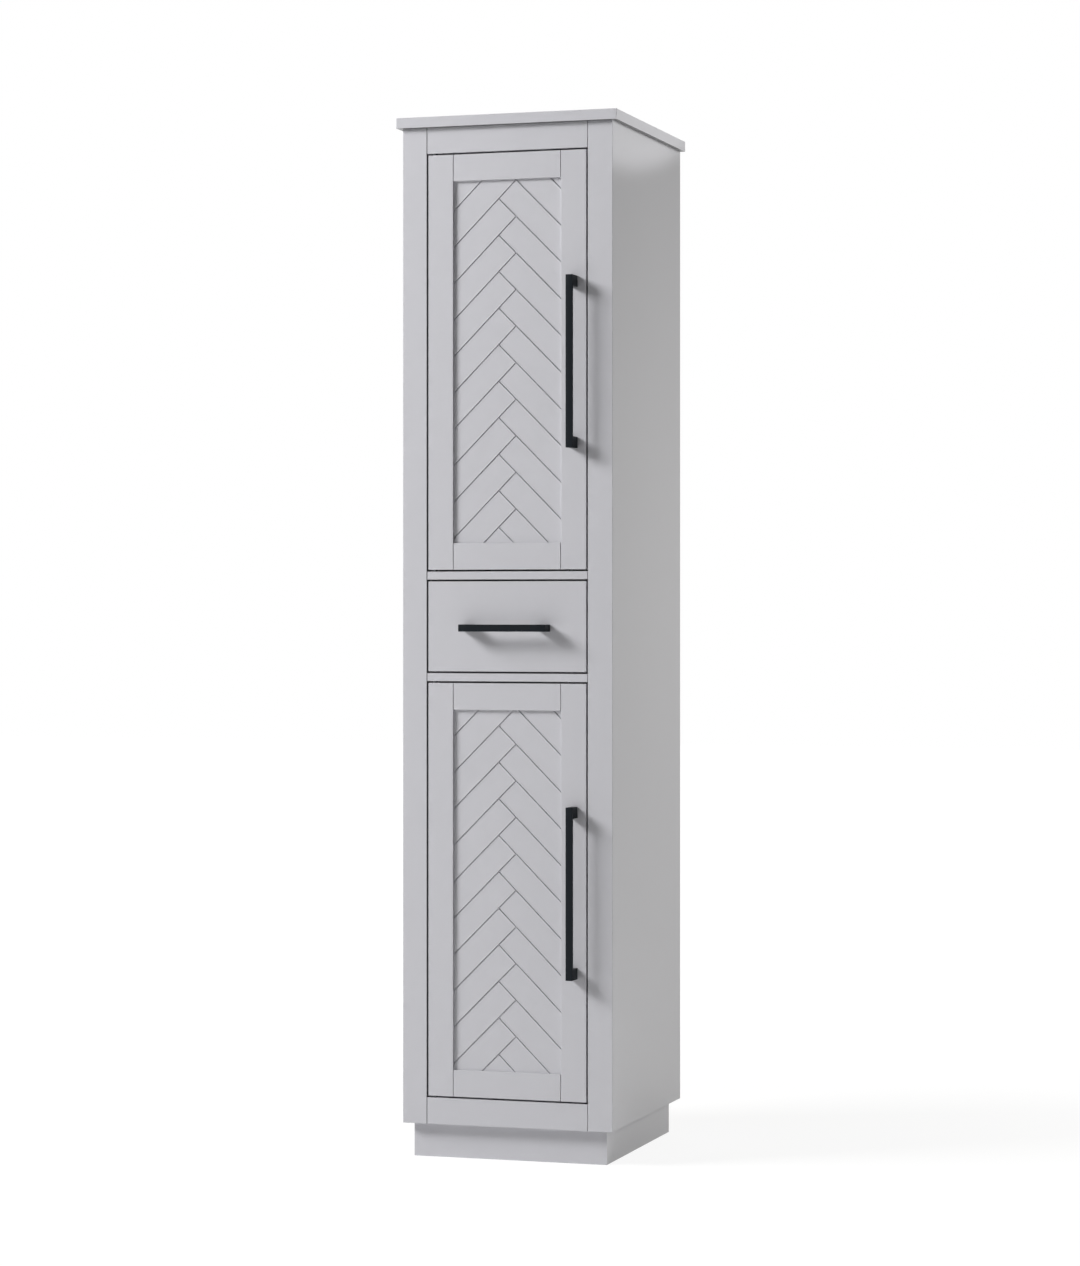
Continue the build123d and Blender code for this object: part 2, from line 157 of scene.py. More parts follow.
# ---------------------------------------------------------------- finishes
def lacquer(name, colour, roughness, other=None, where=None):
    """Sprayed satin lacquer on board: even, with the faint orange peel of the gun.

    A test of the place, where, picks out the faces that have another colour: the white inside of the
    side panels on one material, and painted shade under the slab and in the hinge gap on two others.
    """
    g = Graph(name)
    place = g.place()
    cloud = g.noise(place, scale=9.0, detail=3.0)
    peel = g.noise(place, scale=650.0, detail=1.0)
    coat = g.blend(cloud, tint(colour, 0.985), tint(colour, 1.015))
    if where:
        coat = g.blend(where(g, place), coat, tint(other))
    return g.shade(base_color=coat,
                   roughness=roughness - 0.03 + 0.06 * cloud, specular_ior_level=0.35,
                   normal=g.bump(peel, strength=0.22, distance=0.08 * MM))


def sawn_wood(name, along, pale, dark, roughness=0.5):
    """Planed, oiled timber with its grain along X, Y or Z."""
    g = Graph(name)
    fibre = g.stretched(g.place(), along, 0.05)
    figure = g.noise(fibre, scale=26.0, detail=3.0, roughness=0.55)
    rings = (figure * 55.0).wave()
    pores = g.noise(fibre, scale=900.0, detail=2.0, roughness=0.6)
    streak = g.noise(fibre, scale=140.0, detail=3.0, roughness=0.6)
    shade = 0.30 * rings + 0.45 * streak + 0.30 * pores.smooth(0.35, 0.75) - 0.05
    return g.shade(base_color=g.blend(shade, tint(pale), tint(dark)),
                   roughness=roughness + 0.12 * pores - 0.06 * rings,
                   normal=g.bump(pores + 0.4 * rings, strength=0.35, distance=0.12 * MM))


def backing_board(name, painted, fibreboard, plane):
    """Thin fibreboard, lacquered on its inner face and left raw behind."""
    g = Graph(name)
    place = g.place()
    raw = g.axis(place, "Y") > plane
    fleck = g.noise(place, scale=420.0, detail=4.0, roughness=0.7)
    cloud = g.noise(place, scale=14.0, detail=3.0)
    brown = g.blend(0.65 * fleck + 0.35 * cloud, tint(fibreboard, 1.18), tint(fibreboard, 0.8))
    return g.shade(base_color=g.blend(raw, tint(painted), brown),
                   roughness=0.45 + 0.3 * raw + 0.06 * cloud,
                   normal=g.bump(fleck, strength=0.3, distance=0.1 * MM))


def brushed_steel(name, colour, roughness, along="Y"):
    """Rolled steel with fine lines along X, Y or Z and a cloudy bloom."""
    g = Graph(name)
    place = g.place()
    lines = g.noise(g.stretched(place, along, 0.03), scale=2600.0, detail=2.0, roughness=0.6)
    bloom = g.noise(place, scale=60.0, detail=3.0)
    surface = 0.6 * lines + 0.4 * bloom
    return g.shade(base_color=g.blend(surface, tint(colour, 0.86), tint(colour, 1.08)),
                   metallic=1.0, roughness=roughness + 0.14 * bloom + 0.08 * lines,
                   normal=g.bump(lines, strength=0.15, distance=0.03 * MM))


def powder_coat(name):
    """Fine matt black powder coat."""
    g = Graph(name)
    grain = g.noise(g.place(), scale=1500.0, detail=2.0)
    return g.shade(base_color=g.blend(grain, tint(COAT_DARK), tint(COAT_PALE)),
                   roughness=0.42 + 0.1 * grain, specular_ior_level=0.09,
                   normal=g.bump(grain, strength=0.3, distance=0.06 * MM))


def moulded_nylon(name):
    """Black moulded plastic with a faintly textured skin."""
    g = Graph(name)
    skin = g.noise(g.place(), scale=2200.0, detail=2.0)
    flow = g.noise(g.place(), scale=90.0, detail=2.0)
    return g.shade(base_color=g.blend(flow, tint(NYLON_DARK), tint(NYLON_PALE)),
                   roughness=0.42 + 0.12 * skin,
                   normal=g.bump(skin, strength=0.2, distance=0.04 * MM))


GREY = (0.505, 0.503, 0.53)
WARM_WHITE = (0.74, 0.735, 0.72)
BIRCH = ((0.62, 0.475, 0.30), (0.44, 0.31, 0.172))
PINE = ((0.74, 0.56, 0.32), (0.52, 0.33, 0.15))
FIBREBOARD = (0.36, 0.245, 0.15)
# A dark grey that is painted shade: it darkens the slab's underside and the left stile's edge in the
# hinge gap.
PAINTED_SHADE = (0.13, 0.13, 0.135)
STEEL_GREY = (0.50, 0.51, 0.52)
STEEL_BRIGHT = (0.72, 0.72, 0.73)
STEEL_DARK = (0.05, 0.05, 0.055)
COAT_DARK = (0.0046, 0.0064, 0.0086)
COAT_PALE = (0.0082, 0.0110, 0.0142)
NYLON_DARK = (0.016, 0.016, 0.017)
NYLON_PALE = (0.026, 0.026, 0.027)
SKIN = 0.3 * MM
BACK_SKIN = 2 * MM


def slab_underside_shade(g, place):
    """The slab's lower face, which is painted dark grey: painted shade for the dark under the
    overhang.
    """
    return g.axis(place, "Z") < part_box("top_slab")[0].z + SKIN


def hinge_gap_shade(g, place):
    """The left stile's edge behind the hinge gap, painted the same dark grey: painted shade that
    darkens the gap line.
    """
    return g.axis(place, "X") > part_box("frame_stile_left")[1].x - SKIN


def inner_face(g, place):
    """The faces of the two side panels that look into the cabinet."""
    x = g.axis(place, "X")
    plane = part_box("side_panel_right")[0].x + SKIN
    return x * x < plane * plane


PAINT = lacquer("satin_grey_lacquer", GREY, 0.42)
# The next two carry painted shade: a dark grey on the slab's underside and on the left stile's edge
# in the hinge gap.
SLAB_PAINT_AND_SHADE = lacquer("satin_grey_slab_lacquer_shaded_below", GREY, 0.40, PAINTED_SHADE, slab_underside_shade)
STILE_PAINT_AND_SHADE = lacquer("satin_grey_stile_lacquer_shaded_gap", GREY, 0.42, PAINTED_SHADE, hinge_gap_shade)
SIDE_PAINT = lacquer("satin_grey_side_lacquer", GREY, 0.42, WARM_WHITE, inner_face)
INSIDE = lacquer("white_interior_lacquer", WARM_WHITE, 0.5)
BIRCH_LONG = sawn_wood("birch_grain_front_to_back", "Y", *BIRCH)
BIRCH_WIDE = sawn_wood("birch_grain_side_to_side", "X", *BIRCH)
PINE_BLOCK = sawn_wood("pine_grain_upright", "Z", *PINE)
ZINC = brushed_steel("zinc_plated_steel", STEEL_GREY, 0.32)
BRIGHT = brushed_steel("polished_steel", STEEL_BRIGHT, 0.14)
BURNISHED = brushed_steel("burnished_dark_steel", STEEL_DARK, 0.35, "Z")
BLACK = powder_coat("matt_black_powder_coat")
NYLON = moulded_nylon("black_nylon")
BACKING = backing_board("backing_board", WARM_WHITE, FIBREBOARD,
                        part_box("back_panel")[0].y + BACK_SKIN)


def give(material, *names):
    """Puts one material on CAD nodes."""
    for name in names:
        slots = NODES[name].data.materials
        slots.clear()
        slots.append(material)


def soften(width, *names):
    """Takes the sharp arrises off plain boards."""
    for name in names:
        weld = NODES[name].modifiers.new("weld", "WELD")
        weld.merge_threshold = HAIR
        ease = NODES[name].modifiers.new("ease", "BEVEL")
        ease.width = width
        ease.segments = 2
        ease.limit_method = "ANGLE"
        ease.angle_limit = ARRIS_ANGLE


DOORS = ("upper_door", "lower_door")
SIDES = {"left": -1, "right": 1}
SHELVES = ("upper_shelf_1", "upper_shelf_2", "lower_shelf_1")
DIVIDERS = ("floor_panel", "lower_divider", "upper_divider", "top_panel")
BOARD_ARRIS = 0.7 * MM

give(PAINT, "drawer_front", *[n for n in NODES if n.startswith(("frame_", "plinth_"))],
     *[f"{door}_{board}" for door in DOORS
       for board in ("stile_left", "stile_right", "rail_top", "rail_bottom", "panel")])
give(SLAB_PAINT_AND_SHADE, "top_slab")
give(STILE_PAINT_AND_SHADE, "frame_stile_left")
give(SIDE_PAINT, "side_panel_left", "side_panel_right")
give(INSIDE, "wall_rail", *DIVIDERS, *SHELVES)
give(BIRCH_LONG, "drawer_side_left", "drawer_side_right", "drawer_bottom",
     "runner_spacer_left", "runner_spacer_right")
give(BIRCH_WIDE, "drawer_inner_front", "drawer_back")
give(PINE_BLOCK, "plinth_corner_blocks")
give(NYLON, "pivot_bushes")
give(BURNISHED, "upper_door_pivot_pins", "lower_door_pivot_pins")
soften(BOARD_ARRIS, *SHELVES, "wall_rail",
       "drawer_side_left", "drawer_side_right", "drawer_inner_front", "drawer_back")


# ---------------------------------------------------------------- modelling
def deselect():
    bpy.ops.object.select_all(action="DESELECT")


def settle(name):
    """Names the new primitive and puts its place into its mesh."""
    piece = bpy.context.object
    piece.name = name
    bpy.ops.object.transform_apply(location=True, rotation=True, scale=True)
    return piece


def start_block(name, low, high):
    deselect()
    low, high = Vector(low), Vector(high)
    bpy.ops.mesh.primitive_cube_add(size=1.0, location=(low + high) / 2, scale=high - low)
    return settle(name)


QUARTER = math.radians(90)
ALIGNED = 0.9  # least share of a unit direction that counts as along an axis
ACROSS = 0.1  # greatest share that counts as across it
TURNS = {"X": (0, QUARTER, 0), "Y": (-QUARTER, 0, 0), "Z": (0, 0, 0)}


def start_round(name, axis, middle, radius, depth, sides=32):
    deselect()
    bpy.ops.mesh.primitive_cylinder_add(vertices=sides, radius=radius, depth=depth,
                                        location=middle, rotation=TURNS[axis])
    return settle(name)


def pick(kind, wanted):
    """Selects the edited piece's faces, edges or points that a test accepts."""
    bpy.ops.mesh.select_mode(type=kind)
    bpy.ops.mesh.select_all(action="DESELECT")
    shape = bmesh.from_edit_mesh(bpy.context.object.data)
    shape.normal_update()
    for item in {"VERT": shape.verts, "EDGE": shape.edges, "FACE": shape.faces}[kind]:
        if wanted(item):
            item.select_set(True)
    bmesh.update_edit_mesh(bpy.context.object.data)


def edge_middle(edge):
    return (edge.verts[0].co + edge.verts[1].co) / 2


def edge_way(edge):
    return (edge.verts[1].co - edge.verts[0].co).normalized()


def near(a, b):
    return abs(a - b) < HAIR


def edit():
    bpy.ops.object.mode_set(mode="EDIT")


def leave():
    bpy.ops.object.mode_set(mode="OBJECT")


def cut(place, normal):
    """Cuts a new ring of edges round the edited piece."""
    bpy.ops.mesh.select_all(action="SELECT")
    bpy.ops.mesh.bisect(plane_co=place, plane_no=normal)


def bevel(width, segments):
    bpy.ops.mesh.bevel(offset=width, offset_type="OFFSET", segments=segments, affect="EDGES")


def bevel_sharp(width, segments, keep=None):
    """Rounds every sharp edge of the edited piece, apart from those that keep accepts."""
    def sharp(edge):
        if len(edge.link_faces) != 2 or edge.calc_face_angle() < SHARP_ANGLE:
            return False
        return not (keep and keep(edge))
    pick("EDGE", sharp)
    bevel(width, segments)


def activate(piece):
    deselect()
    piece.select_set(True)
    bpy.context.view_layer.objects.active = piece


def joined(name, pieces):
    """Joins pieces into one."""
    activate(pieces[0])
    for piece in pieces:
        piece.select_set(True)
    if len(pieces) > 1:
        bpy.ops.object.join()
    bpy.context.object.name = name
    return bpy.context.object


def carve(piece, cutters):
    """Takes the cutters' shapes out of a piece."""
    tool = joined("cutter", cutters)
    activate(piece)
    hollow = piece.modifiers.new("carve", "BOOLEAN")
    hollow.object = tool
    hollow.operation = "DIFFERENCE"
    hollow.solver = "EXACT"
    hollow.use_self = True
    bpy.ops.object.modifier_apply(modifier=hollow.name)
    bpy.data.objects.remove(tool)


def copy_at(master, name, matrix):
    """A copy of a piece, with its own mesh, moved by a matrix."""
    mesh = master.data.copy()
    mesh.transform(matrix)
    piece = bpy.data.objects.new(name, mesh)
    bpy.context.scene.collection.objects.link(piece)
    return piece


def complete(piece, material, body, slot, *stands_for):
    """Smooths a piece, gives it its finish and hangs it on its body."""
    activate(piece)
    bpy.ops.object.shade_smooth_by_angle(angle=SMOOTH_ANGLE)
    piece.data.materials.clear()
    piece.data.materials.append(material)
    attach(piece, body)
    if stands_for:
        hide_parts(*stands_for)


# ---------------------------------------------------------------- handles
BAR_THICKNESS = 6 * MM
LEG_LENGTH = 22 * MM
CROOK_RADIUS = 2 * MM
HANDLE_ARRIS = 0.6 * MM


def make_handle(node, body):
    """A square-edged flat bar on two legs."""
    low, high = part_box(node)
    long = 0 if high.x - low.x > high.z - low.z else 2
    axis = Vector([1.0 if i == long else 0.0 for i in range(3)])
    under = low.y + BAR_THICKNESS
    legs = (low[long] + LEG_LENGTH, high[long] - LEG_LENGTH)

    bar = start_block(node + "_bar", low, (high.x, under, high.z))
    edit()
    for leg in legs:
        cut(leg * axis, axis)
    pick("FACE", lambda f: f.normal.y > ALIGNED
         and not legs[0] < f.calc_center_median()[long] < legs[1])
    bpy.ops.mesh.extrude_region_move(TRANSFORM_OT_translate={"value": (0, high.y - under, 0)})
    pick("EDGE", lambda e: near(edge_middle(e).y, under) and abs(edge_way(e).dot(axis)) < ACROSS
         and any(near(edge_middle(e)[long], leg) for leg in legs))
    bevel(CROOK_RADIUS, 5)
    bevel_sharp(HANDLE_ARRIS, 3, keep=lambda e: near(edge_middle(e).y, high.y))
    leave()
    complete(bar, BLACK, body, "black_metal", node)


for door in DOORS:
    make_handle(door + "_handle", door)
make_handle("drawer_handle", "drawer")


# ---------------------------------------------------------------- screws
ARM_LENGTH, ARM_WIDTH = 0.95, 0.24  # the cross recess, in shares of the head's radius
RECESS_DEPTH = 0.6  # in shares of the head's height
DOME = 0.55
TIP_LENGTH = 2.5  # in shanks
TIP_SHARE = 0.12
FIRST_TWIST, TWIST_STEP = 12.0, 37.0


def make_screw(name, head, head_height, shank, length, countersunk):
    """A cross-headed screw that stands on z = 0 with its head above and its tip below."""
    top = 0.0 if countersunk else head_height
    cap = start_round(name, "Z", (0, 0, top - head_height / 2), head, head_height)
    edit()
    if countersunk:
        pick("VERT", lambda v: v.co.z < top - head_height / 2)
        bpy.ops.transform.resize(value=(shank / head, shank / head, 1), center_override=(0, 0, 0))
    else:
        pick("EDGE", lambda e: near(e.verts[0].co.z, top) and near(e.verts[1].co.z, top))
        bevel(DOME * head_height, 5)
    leave()
    long, short = ARM_LENGTH * head / 2, ARM_WIDTH * head / 2
    floor = top - RECESS_DEPTH * head_height
    carve(cap, [start_block("arm", (-x, -y, floor), (x, y, top + head_height))
                for x, y in ((long, short), (short, long))])

    neck = top - head_height
    tip = neck - length
    stem = start_round(name + "_stem", "Z", (0, 0, neck - length / 2), shank, length, sides=20)
    edit()
    cut((0, 0, tip + TIP_LENGTH * shank), (0, 0, 1))
    pick("VERT", lambda v: near(v.co.z, tip))
    bpy.ops.transform.resize(value=(TIP_SHARE, TIP_SHARE, 1), center_override=(0, 0, tip))
    leave()
    return joined(name, [cap, stem])


def set_screws(name, master, seats, way, material, body, slot, *stands_for):
    """Copies of one screw in its seats, with the heads towards +X, -X, +Y, +Z or -Z."""
    turn = {"+X": Matrix.Rotation(QUARTER, 4, "Y"),
            "-X": Matrix.Rotation(-QUARTER, 4, "Y"),
            "+Y": Matrix.Rotation(-QUARTER, 4, "X"),
            "-Z": Matrix.Rotation(2 * QUARTER, 4, "X"),
            "+Z": Matrix.Identity(4)}[way]
    screws = []
    for index, seat in enumerate(seats):
        twist = Matrix.Rotation(math.radians(FIRST_TWIST + TWIST_STEP * index), 4, "Z")
        screws.append(copy_at(master, f"{name}_{index}", Matrix.Translation(seat) @ turn @ twist))
    complete(joined(name, screws), material, body, slot, *stands_for)


HEAD = 4 * MM
HEAD_HEIGHT = 2.4 * MM
SHANK = 2 * MM
HANDLE_SCREW = make_screw("handle_screw", HEAD, HEAD_HEIGHT, SHANK, length=30 * MM,
                          countersunk=False)
DRAWER_SCREW = make_screw("drawer_screw", HEAD, HEAD_HEIGHT, SHANK, length=42 * MM,
                          countersunk=False)
FRONT_SCREW = make_screw("front_screw", HEAD, HEAD_HEIGHT, SHANK, length=26 * MM,
                         countersunk=False)
BACK_SCREW = make_screw("back_screw", head=3.4 * MM, head_height=2.2 * MM, shank=1.5 * MM,
                        length=20 * MM, countersunk=True)
SMALL_SCREW = make_screw("small_screw", head=2.4 * MM, head_height=1.3 * MM, shank=1.2 * MM,
                         length=9 * MM, countersunk=True)
FLAT_SCREW = make_screw("runner_screw", head=3.0 * MM, head_height=0.9 * MM, shank=1.6 * MM,
                        length=12 * MM, countersunk=False)


def leg_middles(node):
    """The middles of a handle's two legs, in its own plane."""
    low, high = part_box(node)
    middle = (low + high) / 2
    half = LEG_LENGTH / 2
    if high.x - low.x > high.z - low.z:
        return [(x, middle.z) for x in (low.x + half, high.x - half)]
    return [(middle.x, z) for z in (low.z + half, high.z - half)]


for door in DOORS:
    door_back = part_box(door + "_stile_right")[1].y
    set_screws(door + "_screws", HANDLE_SCREW,
               [(x, door_back, z) for x, z in leg_middles(door + "_handle")],
               "+Y", ZINC, door, "steel", door + "_handle_screws")

inner_low, inner_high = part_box("drawer_inner_front")
INSET = 30 * MM
set_screws("drawer_handle_screws", DRAWER_SCREW,
           [(x, inner_high.y, z) for x, z in leg_middles("drawer_handle")],
           "+Y", ZINC, "drawer", "steel", "drawer_screws")
set_screws("drawer_front_screws", FRONT_SCREW,
           [(x, inner_high.y, z) for x in (inner_low.x + INSET, inner_high.x - INSET)
            for z in (inner_low.z + INSET, inner_high.z - INSET)],
           "+Y", ZINC, "drawer", "steel", "drawer_screws")


# ---------------------------------------------------------------- back panel
SCREW_EDGE = 5 * MM
SCREW_ROWS = 8
ROW_MARGIN = 30 * MM
DIVIDER_SCREW_X = 0.1
SINK_RADIUS, SINK_DEPTH, SINK_MIDDLE, SINK_SHARE = 3.5 * MM, 2.4 * MM, -1.0 * MM, 0.45
WALL_HOLE_X, WALL_HOLE_RADIUS, WALL_HOLE_DEPTH = 0.16, 2.5 * MM, 30 * MM
SUNK = 0.2 * MM


def make_back():
    """The backing board with its countersunk screws, flush behind."""
    low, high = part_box("back_panel")
    board = start_block("backing_board", low, high)
    columns = (low.x + SCREW_EDGE, high.x - SCREW_EDGE)
    step = (high.z - low.z - 2 * ROW_MARGIN) / (SCREW_ROWS - 1)
    seats = [(x, high.y, low.z + ROW_MARGIN + step * row)
             for x in columns for row in range(SCREW_ROWS)]
    for node in DIVIDERS:
        below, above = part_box(node)
        seats += [(x, high.y, (below.z + above.z) / 2) for x in (-DIVIDER_SCREW_X, DIVIDER_SCREW_X)]

    cone = start_round("sink", "Z", (0, 0, SINK_MIDDLE), SINK_RADIUS, SINK_DEPTH, sides=24)
    edit()
    pick("VERT", lambda v: v.co.z < SINK_MIDDLE)
    bpy.ops.transform.resize(value=(SINK_SHARE, SINK_SHARE, 1), center_override=(0, 0, 0))
    leave()
    turn = Matrix.Rotation(-QUARTER, 4, "X")
    sinks = [copy_at(cone, "sink_copy", Matrix.Translation(seat) @ turn) for seat in seats]
    bpy.data.objects.remove(cone)
    rail_low, rail_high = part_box("wall_rail")
    for side in SIDES.values():
        sinks.append(start_round("wall_hole", "Y",
                                 (side * WALL_HOLE_X, high.y, (rail_low.z + rail_high.z) / 2),
                                 WALL_HOLE_RADIUS, WALL_HOLE_DEPTH, sides=24))
    carve(board, sinks)
    complete(board, BACKING, "cabinet", "interior_board", "back_panel")
    set_screws("back_screws", BACK_SCREW, [(x, y - SUNK, z) for x, y, z in seats],
               "+Y", ZINC, "cabinet", "steel")


make_back()


# ---------------------------------------------------------------- shelf pins
PEG_RADIUS, PEG_LENGTH, PEG_ARRIS = 2.5 * MM, 18 * MM, 0.5 * MM
PAD_LENGTH, PAD_HALF, PAD_THICKNESS = 9 * MM, 5 * MM, 2 * MM
PAD_CORNER, PAD_ARRIS = 3.5 * MM, 0.3 * MM
PIN_INSET = 50 * MM


def make_shelf_pins():
    """Spoon-shaped pins: a round peg in the side and a rounded pad under the shelf."""
    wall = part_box("side_panel_right")[0].x
    peg = start_round("shelf_peg", "X", (0, 0, -PEG_RADIUS), PEG_RADIUS, PEG_LENGTH, sides=24)
    ends = PEG_LENGTH / 2 - HAIR
    edit()
    pick("EDGE", lambda e: abs(e.verts[0].co.x) > ends and abs(e.verts[1].co.x) > ends)
    bevel(PEG_ARRIS, 2)
    leave()
    pad = start_block("shelf_pad", (-PAD_LENGTH, -PAD_HALF, -PAD_THICKNESS), (0, PAD_HALF, 0))
    edit()
    pick("EDGE", lambda e: abs(edge_way(e).z) > ALIGNED and near(edge_middle(e).x, -PAD_LENGTH))
    bevel(PAD_CORNER, 5)
    bevel_sharp(PAD_ARRIS, 2)
    leave()
    master = joined("shelf_pin", [peg, pad])
    pins = []
    for shelf in SHELVES:
        low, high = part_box(shelf)
        for y in (low.y + PIN_INSET, high.y - PIN_INSET):
            pins.append(copy_at(master, "pin", Matrix.Translation((wall, y, low.z))))
            turned = Matrix.Translation((-wall, y, low.z)) @ Matrix.Rotation(2 * QUARTER, 4, "Z")
            pins.append(copy_at(master, "pin", turned))
    bpy.data.objects.remove(master)
    complete(joined("spoon_pins", pins), ZINC, "cabinet", "steel", "shelf_pins")


make_shelf_pins()


# ---------------------------------------------------------------- door catches
CATCH_HALF, CATCH_DEPTH, CATCH_HEIGHT, EAR_HEIGHT = 20 * MM, 16 * MM, 14 * MM, 3 * MM
CATCH_GAP = 0.3 * MM
MAGNET_HALF = 11 * MM
CATCH_ARRIS, POLE_ARRIS, STRIKE_ARRIS = 0.8 * MM, 0.2 * MM, 0.25 * MM
EAR_SCREW_X, EAR_HOLE_RADIUS = 15.5 * MM, 2.3 * MM
POLE_HEIGHTS, POLE_THICKNESS = (4.0 * MM, 9.5 * MM), 1.2 * MM
POLE_HALF, POLE_DEPTH, POLE_PROUD = 9.5 * MM, 3 * MM, 0.12 * MM
STRIKE_SCREW_X, STRIKE_CORNER = 11 * MM, 2.5 * MM
STRIKE_SINK_RADIUS, STRIKE_SINK_DEPTH, STRIKE_SUNK = 2.4 * MM, 1.4 * MM, 0.05 * MM


def make_catch(door, fixed, way):
    """The magnetic catch of a door, on the divider at z = fixed; way is 1 up, -1 down."""
    strike_low, strike_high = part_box(door + "_strike_plate")
    x_middle = (strike_low.x + strike_high.x) / 2
    front = strike_high.y + CATCH_GAP

    def block(name, half, depths, heights):
        """A block set by its half width, its depths and its heights off the divider."""
        levels = [fixed + way * a for a in heights]
        return start_block(name, (x_middle - half, depths[0], min(levels)),
                           (x_middle + half, depths[1], max(levels)))

    body = block(door + "_catch_body", CATCH_HALF, (front, front + CATCH_DEPTH), (0, EAR_HEIGHT))
    edit()
    for side in SIDES.values():
        cut((x_middle + side * MAGNET_HALF, 0, 0), (1, 0, 0))
    pick("FACE", lambda f: f.normal.z * way > ALIGNED
         and abs(f.calc_center_median().x - x_middle) < MAGNET_HALF)
    rise = way * (CATCH_HEIGHT - EAR_HEIGHT)
    bpy.ops.mesh.extrude_region_move(TRANSFORM_OT_translate={"value": (0, 0, rise)})
    bevel_sharp(CATCH_ARRIS, 3, keep=lambda e: near(edge_middle(e).z, fixed))
    leave()
    ears = [(x_middle + side * EAR_SCREW_X, front + CATCH_DEPTH / 2) for side in SIDES.values()]
    carve(body, [start_round("ear_hole", "Z", (x, y, fixed + way * EAR_HEIGHT / 2),
                             EAR_HOLE_RADIUS, 4 * EAR_HEIGHT, sides=24) for x, y in ears])
    complete(body, NYLON, "cabinet", "black_plastic", "magnetic_catches")

    plates = []
    for a in POLE_HEIGHTS:
        plates.append(block("pole", POLE_HALF, (front - POLE_PROUD, front + POLE_DEPTH),
                            (a, a + POLE_THICKNESS)))
        edit()
        bevel_sharp(POLE_ARRIS, 2)
        leave()
    complete(joined(door + "_catch_poles", plates), BRIGHT, "cabinet", "steel")
    set_screws(door + "_catch_screws", SMALL_SCREW,
               [(x, y, fixed + way * EAR_HEIGHT) for x, y in ears],
               "+Z" if way > 0 else "-Z", ZINC, "cabinet", "steel")


def make_strike(door):
    """The steel plate on a door's back that its catch pulls on."""
    low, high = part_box(door + "_strike_plate")
    plate = start_block(door + "_strike", low, high)
    edit()
    pick("EDGE", lambda e: abs(edge_way(e).y) > ALIGNED)
    bevel(STRIKE_CORNER, 5)
    bevel_sharp(STRIKE_ARRIS, 2, keep=lambda e: near(edge_middle(e).y, low.y))
    leave()
    middle = (low + high) / 2
    seats = [(middle.x + side * STRIKE_SCREW_X, high.y, middle.z) for side in SIDES.values()]
    carve(plate, [start_round("sink", "Y", seat, STRIKE_SINK_RADIUS, STRIKE_SINK_DEPTH, sides=24)
                  for seat in seats])
    complete(plate, ZINC, door, "steel", door + "_strike_plate")
    set_screws(door + "_strike_screws", SMALL_SCREW, [(x, y - STRIKE_SUNK, z) for x, y, z in seats],
               "+Y", ZINC, door, "steel")


make_catch("upper_door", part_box("frame_upper_mid_rail")[1].z, 1)
make_strike("upper_door")
make_catch("lower_door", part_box("frame_lower_mid_rail")[0].z, -1)
make_strike("lower_door")


# ---------------------------------------------------------------- drawer runners
SHEET = 1.2 * MM
FOLD_RADIUS = 1.5 * MM
WEB_HOLES = (0.06, 0.3, 0.55, 0.8, 0.95)  # shares of the channel's length
WEB_HOLE_SHIFT, WEB_HOLE_RADIUS, WEB_HOLE_DEPTH = 14 * MM, 2.2 * MM, 8 * MM
BALL = 2.4 * MM
BALL_COUNT, FIRST_BALL, BALL_PITCH = 22, 10 * MM, 20.4 * MM
CAGE_HALF_WIDTH, CAGE_HALF_HEIGHT, CAGE_ARRIS = 1.9 * MM, 0.35 * MM, 0.15 * MM
RUNNER_SCREWS = (60 * MM, 200 * MM, 380 * MM)  # from the channel's front end


def folded_channel(name, low, high, open_way):
    """A folded steel channel, open towards +X or -X, with rounded folds and holes in its web."""
    channel = start_block(name, low, high)
    edit()
    pick("FACE", lambda f: f.normal.x * open_way > ALIGNED or abs(f.normal.y) > ALIGNED)
    bpy.ops.mesh.delete(type="FACE")
    pick("EDGE", lambda e: len(e.link_faces) == 2)
    bevel(FOLD_RADIUS, 4)
    leave()
    activate(channel)
    wall = channel.modifiers.new("wall", "SOLIDIFY")
    wall.thickness = SHEET
    wall.offset = -1.0
    wall.use_even_offset = True
    bpy.ops.object.modifier_apply(modifier=wall.name)
    web = low.x if open_way > 0 else high.x
    z_middle = (low.z + high.z) / 2
    holes = []
    for share in WEB_HOLES:
        y = low.y + share * (high.y - low.y)
        holes.append(start_round("web_hole", "X", (web, y + WEB_HOLE_SHIFT, z_middle),
                                 WEB_HOLE_RADIUS, WEB_HOLE_DEPTH, sides=20))
    carve(channel, holes)
    return channel


